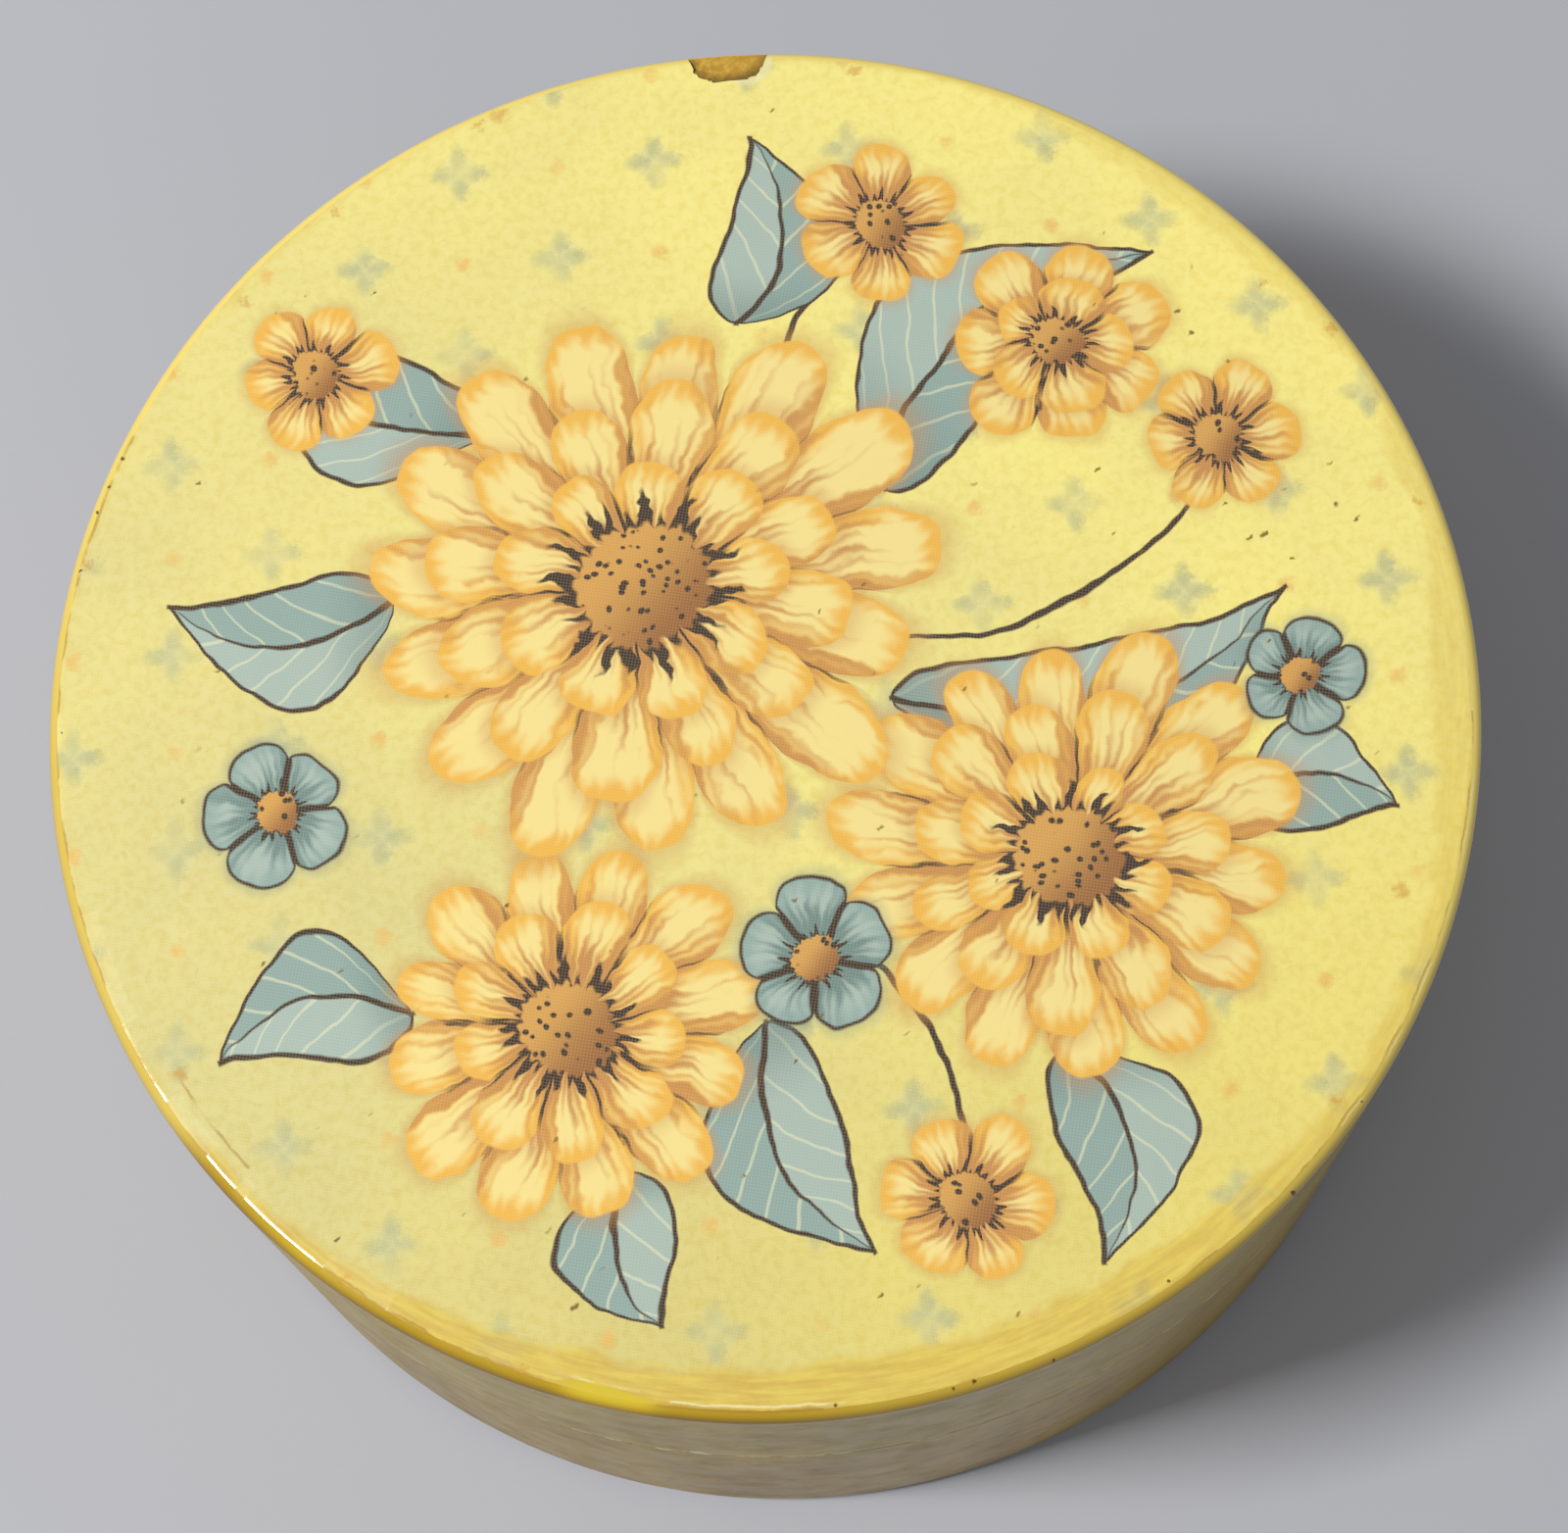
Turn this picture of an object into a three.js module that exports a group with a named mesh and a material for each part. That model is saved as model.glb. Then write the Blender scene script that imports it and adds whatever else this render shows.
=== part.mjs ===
// Round lacquered trinket box: a wooden base with a raised neck, and a lid that lifts off it.
// Millimetres, +Z up. The origin is the middle of the face that the box stands on.

import * as THREE from 'three';

// Driving dimensions of the closed box
const outerDiameter = 96;
const wholeHeight = 50.8;
const lidHeight = 20;

// Walls and boards
const hoopWall = 2.6;
const neckWall = 1.6;
const boardThickness = 3;
const boardStep = 1.2;

// How the lid fits on the neck
const neckRise = 8;
const slideClearance = 0.3;
const mouthLead = 0.5;

// Glued joints, paper and linings
const glueLine = 0.1;
const printThickness = 0.15;
const ceilingLiningThickness = 0.6;
const floorLiningThickness = 1.2;
const liningClearance = 0.3;
const footFeltThickness = 1;
const footSetback = 1;

// Rounded edges
const rimRadius = 0.75;
const seamRadius = 0.35;
const footRadius = 0.8;
const neckOuterRound = 0.8;
const neckInnerRound = 0.5;
const liningRound = 0.3;

// Number of facets around the box, and steps in each rounded edge
const facetCount = 120;
const arcSteps = 4;
const smallArcSteps = 2;

// Radii that follow from the sizes above, from the outside in
const outerRadius = outerDiameter / 2;
const baseBore = outerRadius - hoopWall;
const neckOuter = baseBore - glueLine;
const neckBore = neckOuter - neckWall;
const lidBore = neckOuter + slideClearance;
const printRadius = outerRadius - rimRadius;

// Heights that follow, from the table up
const shoulderHeight = wholeHeight - lidHeight;
const baseHoopHeight = shoulderHeight - footFeltThickness;
const lidHoopHeight = lidHeight - printThickness;
const boardTop = footFeltThickness + boardThickness;
const neckHeight = shoulderHeight + neckRise - boardTop;
const ceilingHeight = lidHoopHeight - boardThickness;

const yellowLacquer = { color: 0xd9c63a, roughness: 0.12, metalness: 0 };
const bareWood = { color: 0xb98f55, roughness: 0.7, metalness: 0 };
const printedPaper = { color: 0xebe19a, roughness: 0.2, metalness: 0 };
const goldFelt = { color: 0xb8913f, roughness: 0.95, metalness: 0 };
const creamPaper = { color: 0xe9dfb8, roughness: 0.8, metalness: 0 };
const brownFelt = { color: 0x4a3423, roughness: 0.95, metalness: 0 };

// A quarter of a circle from one angle to another, as points of an outline
function arc(centreX, centreY, radius, startTurn, endTurn, steps) {
  const points = [];
  for (let step = 0; step <= steps; step += 1) {
    const turn = startTurn + (endTurn - startTurn) * step / steps;
    points.push(new THREE.Vector2(centreX + radius * Math.cos(turn), centreY + radius * Math.sin(turn)));
  }
  return points;
}

// The four quarter turns that the outlines use, seen with the axis on the left
const east = 0;
const north = Math.PI / 2;
const west = Math.PI;
const south = -Math.PI / 2;

function point(x, y) {
  return new THREE.Vector2(x, y);
}

// Turns a half outline about the box's upright axis. The outline runs anticlockwise, with the axis on its left.
function turned(name, outline, finish) {
  const geometry = new THREE.LatheGeometry(outline, facetCount);
  geometry.rotateX(Math.PI / 2);
  const mesh = new THREE.Mesh(geometry, new THREE.MeshStandardMaterial(finish));
  mesh.name = name;
  return mesh;
}

// A ring closes its outline on its first point
function ring(name, outline, finish) {
  return turned(name, [...outline, outline[0].clone()], finish);
}

// A plain disc with square edges
function disc(name, radius, thickness, finish) {
  const outline = [point(0, 0), point(radius, 0), point(radius, thickness), point(0, thickness)];
  return turned(name, outline, finish);
}

// A soft disc whose upper edge is rounded, as cut felt is
function liningDisc(name, radius, thickness, finish) {
  const outline = [
    point(0, 0),
    point(radius, 0),
    ...arc(radius - liningRound, thickness - liningRound, liningRound, east, north, smallArcSteps),
    point(0, thickness),
  ];
  return turned(name, outline, finish);
}

// The lid's side wall: eased mouth below, rounded rim above, and a step inside the rim that carries the board
function lidHoop() {
  const outline = [
    point(lidBore + mouthLead, 0),
    ...arc(outerRadius - seamRadius, seamRadius, seamRadius, south, east, smallArcSteps),
    ...arc(outerRadius - rimRadius, lidHoopHeight - rimRadius, rimRadius, east, north, arcSteps),
    point(lidBore + boardStep, lidHoopHeight),
    point(lidBore + boardStep, ceilingHeight),
    point(lidBore, ceilingHeight),
    point(lidBore, mouthLead),
  ];
  return ring('lid_hoop', outline, yellowLacquer);
}

// The lid's board lies on the hoop's step, flush with the rim
function lidTopBoard() {
  const board = disc('lid_top_board', lidBore + boardStep - glueLine, boardThickness, bareWood);
  board.position.z = ceilingHeight;
  return board;
}

// The printed paper covers the board and the joint around it, up to where the rim starts to round
function lidPrint() {
  const print = disc('lid_print', printRadius, printThickness, printedPaper);
  print.position.z = lidHoopHeight;
  return print;
}

// The lining inside the lid is glued to the underside of the board
function lidCeilingLining() {
  const lining = disc('lid_ceiling_lining', lidBore - liningClearance, ceilingLiningThickness, creamPaper);
  lining.position.z = ceilingHeight - ceilingLiningThickness;
  return lining;
}

// The base's side wall: its flat upper end is the shoulder for the lid, and a step below takes the floor board
function baseHoop() {
  const outline = [
    point(baseBore + boardStep, 0),
    ...arc(outerRadius - footRadius, footRadius, footRadius, south, east, arcSteps),
    ...arc(outerRadius - seamRadius, baseHoopHeight - seamRadius, seamRadius, east, north, smallArcSteps),
    point(baseBore, baseHoopHeight),
    point(baseBore, boardThickness),
    point(baseBore + boardStep, boardThickness),
  ];
  const hoop = ring('base_hoop', outline, yellowLacquer);
  hoop.position.z = footFeltThickness;
  return hoop;
}

// The floor board is pushed into the base hoop from below, up to its step
function baseFloorBoard() {
  const board = disc('base_floor_board', baseBore + boardStep - glueLine, boardThickness, bareWood);
  board.position.z = footFeltThickness;
  return board;
}

// The neck stands on the floor board, lines the base hoop and rises past the shoulder with a rounded lip
function neckRing() {
  const outline = [
    point(neckBore, 0),
    point(neckOuter, 0),
    ...arc(neckOuter - neckOuterRound, neckHeight - neckOuterRound, neckOuterRound, east, north, arcSteps),
    ...arc(neckBore + neckInnerRound, neckHeight - neckInnerRound, neckInnerRound, north, west, arcSteps),
  ];
  const neck = ring('neck_ring', outline, yellowLacquer);
  neck.position.z = boardTop;
  return neck;
}

// Felt on the floor, inside the neck
function floorLining() {
  const lining = liningDisc('floor_lining', neckBore - liningClearance, floorLiningThickness, goldFelt);
  lining.position.z = boardTop;
  return lining;
}

// Felt under the whole base, set back from its outer edge
function footFelt() {
  return disc('foot_felt', outerRadius - footSetback, footFeltThickness, brownFelt);
}

const base = new THREE.Group();
base.add(footFelt(), baseFloorBoard(), baseHoop(), neckRing(), floorLining());

// The lid is drawn from its mouth up and set down on the shoulder
const lid = new THREE.Group();
lid.add(lidHoop(), lidTopBoard(), lidPrint(), lidCeilingLining());
lid.position.z = shoulderHeight;

const box = new THREE.Group();
box.add(base, lid);

export default box;
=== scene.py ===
# A round lacquered trinket box: a turned wooden base with a neck, and a lift-off lid with a printed top.

import math

import bmesh
import bpy
from mathutils import Matrix, Vector


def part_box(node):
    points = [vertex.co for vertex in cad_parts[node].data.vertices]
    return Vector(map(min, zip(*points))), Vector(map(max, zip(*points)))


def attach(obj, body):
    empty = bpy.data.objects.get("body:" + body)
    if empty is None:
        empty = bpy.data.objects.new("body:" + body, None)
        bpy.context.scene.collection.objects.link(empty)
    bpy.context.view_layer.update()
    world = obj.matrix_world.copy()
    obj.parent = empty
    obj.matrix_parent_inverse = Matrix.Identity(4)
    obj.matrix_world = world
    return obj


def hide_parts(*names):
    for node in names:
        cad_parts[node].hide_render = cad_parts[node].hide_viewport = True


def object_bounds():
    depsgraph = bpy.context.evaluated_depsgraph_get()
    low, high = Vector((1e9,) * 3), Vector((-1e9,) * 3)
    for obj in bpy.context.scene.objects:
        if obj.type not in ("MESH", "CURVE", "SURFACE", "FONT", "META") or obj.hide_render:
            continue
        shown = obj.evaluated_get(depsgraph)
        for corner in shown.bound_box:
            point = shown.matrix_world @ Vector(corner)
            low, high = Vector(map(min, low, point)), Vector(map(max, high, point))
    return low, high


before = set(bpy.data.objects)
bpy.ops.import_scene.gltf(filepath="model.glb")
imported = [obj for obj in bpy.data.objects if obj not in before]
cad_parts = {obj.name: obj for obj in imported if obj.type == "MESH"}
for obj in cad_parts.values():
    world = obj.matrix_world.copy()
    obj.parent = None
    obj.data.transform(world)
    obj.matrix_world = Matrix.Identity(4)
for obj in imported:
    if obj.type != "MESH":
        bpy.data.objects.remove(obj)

cad_low, cad_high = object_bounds()
mm = 0.001

# The camera looks down on the box's front, as in the photograph. Its place, lens and lean were solved from
# the lid's rim, the seam and the base's lower edge, which are circles about one axis.
photo_width = 1600
lens_pixels = 3850
sensor_width = 36
camera_distance = 5.257 * cad_high.x
camera_elevation = math.radians(72.374)
aim_right = math.radians(-0.344)
aim_up = math.radians(-1.025)
camera_lean = math.radians(-6.481)

camera_way = Vector((0, -math.cos(camera_elevation), math.sin(camera_elevation)))
aim = Matrix.Rotation(math.pi / 2 - camera_elevation, 3, "X")
for angle, axis in ((camera_lean, "Z"), (aim_right, "Y"), (aim_up, "X")):
    aim = aim @ Matrix.Rotation(angle, 3, axis)

bpy.ops.object.select_all(action="DESELECT")
bpy.ops.object.camera_add(location=Vector((0, 0, cad_high.z)) + camera_distance * camera_way)
camera = bpy.context.object
camera.name = "camera"
camera.rotation_mode = "QUATERNION"
camera.rotation_quaternion = aim.to_quaternion()
camera.data.sensor_width = sensor_width
camera.data.lens = lens_pixels / photo_width * sensor_width
bpy.context.scene.camera = camera

# The studio: a pale floor, one soft lamp high on the left, where the photograph's highlights put it, and an
# even sky that fills the shadows.
lamp_place = Vector((-0.375, -0.065, 0.65))
lamp_width = 0.13
lamp_power = 4.4
sky_strength = 0.33
floor_width = 6


def linear(code):
    """Turns an sRGB hex colour into the linear colour that the shaders take."""
    shares = [int(code[i : i + 2], 16) / 255 for i in (1, 3, 5)]
    return (*[c / 12.92 if c <= 0.04045 else ((c + 0.055) / 1.055) ** 2.4 for c in shares], 1)


def adder(tree):
    """Returns the function that adds a node to this tree."""

    def add(kind, *sources, **named):
        """Adds a node, whose kind may end with its operation. Names in lower case are its settings. The rest
        feeds its sockets, in order and then by name, with values, hex colours, or nodes, which stand for
        their first output in use."""
        kind, *operation = kind.split()
        node = tree.nodes.new(kind if kind.startswith("Node") else "ShaderNode" + kind)
        if operation:
            node.operation = operation[0]
        sockets = list(enumerate(sources))
        for name, value in named.items():
            if name.islower():
                setattr(node, name, value)
            else:
                sockets.append((name, value))
        for socket, source in sockets:
            if isinstance(source, bpy.types.Node):
                source = next(output for output in source.outputs if output.enabled)
            if isinstance(source, bpy.types.NodeSocket):
                tree.links.new(source, node.inputs[socket])
            else:
                node.inputs[socket].default_value = linear(source) if isinstance(source, str) else source
        return node

    return add


def finish_with(material, **sources):
    """Feeds the sockets of a material's shader with values or nodes. An underscore stands for a space."""
    tree = material.node_tree
    for name, source in sources.items():
        socket = tree.nodes["Principled BSDF"].inputs[name.replace("_", " ")]
        if isinstance(source, bpy.types.Node):
            tree.links.new(source.outputs[0], socket)
        else:
            socket.default_value = source


def start_material(name, **constants):
    """Makes a material with constants for its shader. Returns it, its add(), and places in millimetres."""
    material = bpy.data.materials.new(name)
    material.use_nodes = True
    finish_with(material, **constants)
    add = adder(material.node_tree)
    metres = add("TexCoord").outputs["Object"]
    return material, add, add("Mapping", metres, Scale=(1 / mm, 1 / mm, 1 / mm))


sky = bpy.data.worlds.new("even studio sky")
sky.use_nodes = True
for socket, value in (("Color", linear("#f4f6fa")), ("Strength", sky_strength)):
    sky.node_tree.nodes["Background"].inputs[socket].default_value = value
bpy.context.scene.world = sky

# The photograph's colours are plain sRGB, without a film curve
bpy.context.scene.view_settings.view_transform = "Standard"

bpy.ops.object.light_add(type="AREA", location=lamp_place)
lamp = bpy.context.object
lamp.name = "soft lamp"
lamp.data.size = lamp_width
lamp.data.energy = lamp_power
lamp.rotation_euler = (-lamp_place).to_track_quat("-Z", "Y").to_euler()

# Matt paper sweep: pale, with the faintest unevenness over 80 mm so that it isn't a dead flat colour
floor_paper, add, place = start_material("matt paper floor", Roughness=0.9)
mottle = add("TexNoise", place, Scale=0.012, Detail=3)
finish_with(floor_paper, Base_Color=add("MixRGB", mottle, "#b4b5bb", "#bcbdc2"))

bpy.ops.mesh.primitive_plane_add(size=floor_width)
floor = bpy.context.object
floor.name = "floor"
floor.data.materials.append(floor_paper)

# The floor board and the lid's board: plain sawn poplar, glued into steps. Felt hides the first, and the
# second shows only where the rim is chipped, so both keep their solids and get the wood alone.
ring_spacing = 2.6
chip_centre = Vector((2.7, 46.6))

bare_wood, add, place = start_material("sawn poplar board", Roughness=0.75)
# Growth rings run along X, 2.6 mm apart, and wander; pores are short dark streaks along the grain
grain_place = add("Mapping", place, Scale=(0.15, 1, 1))
wander = add("TexNoise", grain_place, Scale=0.12, Detail=2)
bent = add("VectorMath MULTIPLY_ADD", wander.outputs["Color"], (0, 9, 0), grain_place)
rings = add("TexWave", bent, 0.314 / ring_spacing, 0.4, bands_direction="Y", wave_profile="SAW")
pores = add("TexNoise", grain_place, Scale=2.2, Detail=3)
wood = add("MixRGB", rings.outputs["Fac"], "#c8a06a", "#b08550")
dark_pore = add("MapRange", pores, 0.55, 0.75, 0, 0.5)
wood = add("MixRGB", dark_pore, wood, "#8f6a42", blend_type="MULTIPLY")
# Old lacquer and dirt have soaked the wood in the chip: amber in its middle, dark olive brown round its edge
flat = add("VectorMath MULTIPLY", place, (1, 1, 0))
ragged = add("TexNoise", flat, Scale=1.7, Detail=4, Roughness=0.6)
oval = add("VectorMath MULTIPLY_ADD", ragged.outputs["Color"], (1.3, 0.9, 0), flat)
oval = add("VectorMath SUBTRACT", oval, (chip_centre.x + 0.65, chip_centre.y + 1.3, 0))
near_chip = add("VectorMath LENGTH", oval)
oval = add("VectorMath MULTIPLY", oval, (1 / 3.1, 1 / 1.8, 0))
oval = add("VectorMath LENGTH", oval)
soaked = add("MixRGB", add("MapRange", ragged, 0.42, 0.62, 0, 1), "#b98a2a", "#cfa83c")
soaked = add("MixRGB", add("MapRange", oval, 0.62, 1, 0, 0.95), soaked, "#735812")
wood = add("MixRGB", add("MapRange", near_chip, 3.6, 4.8, 1, 0), wood, soaked)
relief = add("Bump", Height=pores, Strength=0.5, Distance=0.1 * mm)
finish_with(bare_wood, Base_Color=wood, Normal=relief)

for node in ("base_floor_board", "lid_top_board"):
    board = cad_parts[node]
    board.data.materials.clear()
    board.data.materials.append(bare_wood)

# Underside felt: a disc of brown wool felt, 1 mm thick, glued on 1 mm inside the base's edge. It is matted
# fibre, so it is dull, speckled with lighter hairs and soft at its rim.
turn_steps = 240
underside_rounding = 0.3
foot_low, foot_high = (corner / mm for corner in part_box("foot_felt"))


def section(inner, outer, low, high):
    """Stands a plane upright as the section of a turned piece, in millimetres, and opens it for shaping."""
    bpy.ops.object.select_all(action="DESELECT")
    middle = ((inner + outer) / 2 * mm, 0, (low + high) / 2 * mm)
    bpy.ops.mesh.primitive_plane_add(size=1, location=middle, rotation=(math.pi / 2, 0, 0))
    bpy.context.object.scale = ((outer - inner) * mm, (high - low) * mm, 1)
    bpy.ops.object.transform_apply(location=True, rotation=True, scale=True)
    bpy.ops.object.mode_set(mode="EDIT")


def pick(kind, test):
    """Selects the open section's vertices, edges or faces whose middle, in millimetres, passes the test."""
    bpy.ops.mesh.select_all(action="DESELECT")
    bpy.ops.mesh.select_mode(type=kind)
    mesh = bmesh.from_edit_mesh(bpy.context.object.data)
    for part in {"FACE": mesh.faces, "EDGE": mesh.edges, "VERT": mesh.verts}[kind]:
        corners = [part.co] if kind == "VERT" else [vertex.co for vertex in part.verts]
        part.select_set(test(sum(corners, Vector()) / len(corners) / mm))
    mesh.select_flush_mode()
    bmesh.update_edit_mesh(bpy.context.object.data)


def round_corner(radius, height, rounding, steps):
    """Rounds the corner of the section that lies at this radius and height."""
    pick("VERT", lambda at: math.hypot(at.x - radius, at.z - height) < 0.01)
    bpy.ops.mesh.bevel(offset=rounding * mm, segments=steps, affect="VERTICES")


def cut_away(radius, height, test):
    """Cuts the section along an upright and a level line and takes away the faces that pass the test."""
    for point, way in (((radius * mm, 0, 0), (1, 0, 0)), ((0, 0, height * mm), (0, 0, 1))):
        bpy.ops.mesh.select_all(action="SELECT")
        bpy.ops.mesh.bisect(plane_co=point, plane_no=way)
    pick("FACE", test)
    bpy.ops.mesh.delete(type="FACE")


def turn_section(name):
    """Spins the section's outline once about the box's axis, closes it and smooths it by its angles."""
    bpy.ops.mesh.select_mode(type="FACE")
    bpy.ops.mesh.select_all(action="SELECT")
    bpy.ops.mesh.dissolve_faces(use_verts=False)
    bpy.ops.mesh.select_all(action="SELECT")
    bpy.ops.mesh.delete(type="ONLY_FACE")
    pick("EDGE", lambda at: at.x < 0.001)
    bpy.ops.mesh.delete(type="EDGE")
    bpy.ops.mesh.select_all(action="SELECT")
    bpy.ops.mesh.spin(steps=turn_steps, angle=2 * math.pi, center=(0, 0, 0), axis=(0, 0, 1))
    bpy.ops.mesh.select_all(action="SELECT")
    bpy.ops.mesh.remove_doubles(threshold=0.002 * mm)
    bpy.ops.mesh.normals_make_consistent(inside=False)
    bpy.ops.object.mode_set(mode="OBJECT")
    bpy.ops.object.shade_smooth_by_angle(angle=math.radians(35))
    bpy.context.object.name = name
    return bpy.context.object


def even_shading(piece):
    """Weights the normals by face size, so that flat faces stay flat beside rounded edges."""
    bpy.context.view_layer.objects.active = piece
    weights = piece.modifiers.new("weights", "WEIGHTED_NORMAL")
    weights.keep_sharp = True
    bpy.ops.object.modifier_apply(modifier=weights.name)


section(0, foot_high.x, foot_low.z, foot_high.z)
round_corner(foot_high.x, foot_low.z, underside_rounding, 4)
underside_felt = turn_section("underside_felt")
even_shading(underside_felt)


def felt(name, dark, middle, hair):
    """Wool felt: matted fibres, drawn 0.4 mm across so that they show, with paler hairs on top."""
    material, add, place = start_material(name, Roughness=0.95, Sheen_Weight=0.2, Sheen_Roughness=0.5)
    fibre = add("TexNoise", place, Scale=2.4, Detail=5, Roughness=0.65, Distortion=1.8)
    cloud = add("TexNoise", place, Scale=0.22, Detail=3)
    tone = add("Math MULTIPLY_ADD", cloud, 0.5, fibre)
    colour = add("MixRGB", add("MapRange", tone, 0.55, 0.95, 0, 1), dark, middle)
    stray = add("TexNoise", place, Scale=1.1, Detail=6, Distortion=4)
    colour = add("MixRGB", add("MapRange", stray, 0.6, 0.7, 0, 0.55), colour, hair)
    relief = add("Bump", Height=fibre, Strength=0.9, Distance=0.25 * mm)
    finish_with(material, Base_Color=colour, Normal=relief)
    return material


underside_felt.data.materials.append(felt("brown wool felt", "#35241a", "#54392a", "#7d624c"))
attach(underside_felt, "base")
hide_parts("foot_felt")

# The base's wall: a turned wooden ring under several coats of yellow gloss lacquer, its flat upper end the
# shoulder that the lid sits on. A step inside its foot holds the floor board.
glue_line = 0.1
foot_rounding = 0.8
seam_rounding = 0.35
wall_low, wall_high = (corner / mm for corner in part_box("base_hoop"))
floor_board_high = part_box("base_floor_board")[1] / mm
neck_low, neck_high = (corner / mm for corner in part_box("neck_ring"))
step_radius = floor_board_high.x + glue_line

section(neck_high.x + glue_line, wall_high.x, wall_low.z, wall_high.z)
round_corner(wall_high.x, wall_low.z, foot_rounding, 6)
round_corner(wall_high.x, wall_high.z, seam_rounding, 4)
cut_away(step_radius, floor_board_high.z, lambda at: at.x < step_radius and at.z < floor_board_high.z)
base_wall = turn_section("base_wall")
even_shading(base_wall)


def lacquer(name, clean, soiled, worn_radius, worn_height):
    """Brushed gloss lacquer with faint sags and brush lines, browned with age and dulled by handling. It is
    worn through to the cream primer along the edge at this radius and height. Returns what is needed to
    paint more over it."""
    material, add, place = start_material(name, IOR=1.5, Specular_IOR_Level=0.26)
    height = add("VectorMath DOT_PRODUCT", place, (0, 0, 1))
    # Age clouds about 11 mm across, and faint upright bands down the wall, which are painted reflections and
    # shade
    cloud = add("TexNoise", place, Scale=0.09, Detail=4, Roughness=0.6)
    band = add("TexNoise", add("Mapping", place, Scale=(0.22, 0.22, 0.02)), Scale=1, Detail=4)
    tone = add("Math MULTIPLY_ADD", band, 0.7, cloud)
    colour = add("MixRGB", add("MapRange", tone, 0.55, 1.15, 0, 1), clean, soiled)
    # Brush lines run round the wall, 0.4 mm apart and drawn out along it, with dirt in some of them
    brush = add("TexNoise", add("Mapping", place, Scale=(0.05, 0.05, 2.4)), Scale=1, Detail=3)
    dirty = add("MapRange", brush, 0.5, 0.72, 0, 0.12)
    colour = add("MixRGB", dirty, colour, "#8a744a", blend_type="MULTIPLY")
    # Handling marks, and a darkening over the base's lowest 4 mm
    smear = add("TexNoise", place, Scale=0.33, Detail=5, Roughness=0.65)
    foot = add("MapRange", height, 1, 5, 0.22, 0)
    smeared = add("MapRange", add("Math ADD", smear, foot), 0.5, 0.82, 0, 0.36)
    colour = add("MixRGB", smeared, colour, "#a88a58", blend_type="MULTIPLY")
    # Specks of dirt under the last coat
    speck_field = add("TexVoronoi", place, Scale=0.55)
    speck = add("MapRange", speck_field, 0.07, 0.12, 1, 0)
    chance = add("VectorMath DOT_PRODUCT", speck_field.outputs["Color"], (1, 0, 0))
    chance = add("Math GREATER_THAN", chance, 0.86)
    speck = add("Math MULTIPLY", speck, chance)
    colour = add("MixRGB", speck, colour, "#4e3b16")
    # Primer along the worn edge, in patches
    flat = add("VectorMath MULTIPLY", place, (1, 1, 0))
    radius = add("VectorMath LENGTH", flat)
    known = {"radius": radius, "height": height, "smear": smear}
    for result, operation, *terms in (
        ("off edge", "SUBTRACT", "radius", worn_radius),
        ("off edge", "ABSOLUTE", "off edge"),
        ("above", "SUBTRACT", "height", worn_height),
        ("above", "ABSOLUTE", "above"),
        ("off edge", "MAXIMUM", "off edge", "above"),
        ("off edge", "MULTIPLY_ADD", "smear", -1.7, "off edge"),
    ):
        known[result] = add("Math " + operation, *[known.get(term, term) for term in terms])
    worn = add("MapRange", known["off edge"], -0.7, -0.58, 0.85, 0)
    colour = add("MixRGB", worn, colour, "#dccd9c")
    dulled = add("MapRange", smear, 0.35, 0.75, 0.28, 0.44)
    sag = add("TexNoise", place, Scale=0.16, Detail=2)
    relief = add("Bump", Height=sag, Strength=0.25, Distance=0.12 * mm)
    finish_with(material, Base_Color=colour, Roughness=dulled, Normal=relief)
    return material, add, place, height, colour, dulled


# The base's wall is a duller, darker yellow than the rim and the neck: partly age and partly painted shade
base_wall.data.materials.append(
    lacquer("brushed yellow lacquer on the base", "#b89a3a", "#96792f", wall_high.x, wall_high.z)[0]
)
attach(base_wall, "base")
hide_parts("base_hoop")

# The neck: a thin turned ring glued inside the base's wall. It stands 8 mm past the shoulder to guide the
# lid, so its lip is well rounded and its lacquer rubbed through to the primer there.
neck_wall = 1.6
lip_rounding = 0.8
lip_inner_rounding = 0.5
lip_crest = 0.3

section(neck_high.x - neck_wall, neck_high.x, neck_low.z, neck_high.z)
round_corner(neck_high.x, neck_high.z, lip_rounding, 6)
round_corner(neck_high.x - neck_wall, neck_high.z, lip_inner_rounding, 5)
neck = turn_section("neck")
even_shading(neck)
neck_lacquer = lacquer(
    "brushed yellow lacquer on the neck", "#d2b53a", "#b8963a", neck_high.x - lip_crest, neck_high.z
)
neck.data.materials.append(neck_lacquer[0])
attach(neck, "base")
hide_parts("neck_ring")

# Floor lining: gold wool felt, 1.2 mm thick, cut to drop inside the neck and glued to the floor board. Its
# cut edge is soft.
felt_rounding = 0.45
lining_low, lining_high = (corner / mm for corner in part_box("floor_lining"))

section(0, lining_high.x, lining_low.z, lining_high.z)
round_corner(lining_high.x, lining_high.z, felt_rounding, 5)
floor_felt = turn_section("floor_felt")
even_shading(floor_felt)
floor_felt.data.materials.append(felt("gold wool felt", "#8a6420", "#b98d3a", "#dcb978"))
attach(floor_felt, "base")
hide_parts("floor_lining")

# The lid's wall: a turned wooden ring like the base's, with a well rounded rim. Steps inside its upper end
# take the board and the print's edge, so that the lacquer runs over all three without a break.
rim_rounding = 1
mouth_rounding = 0.5
lining_clearance = 0.3
lid_low, lid_high = (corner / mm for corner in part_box("lid_hoop"))
print_low, print_high = (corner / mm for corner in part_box("lid_print"))
top_board_low, top_board_high = (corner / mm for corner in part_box("lid_top_board"))
ceiling_low, ceiling_high = (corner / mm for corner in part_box("lid_ceiling_lining"))
lid_bore = ceiling_high.x + lining_clearance

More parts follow.
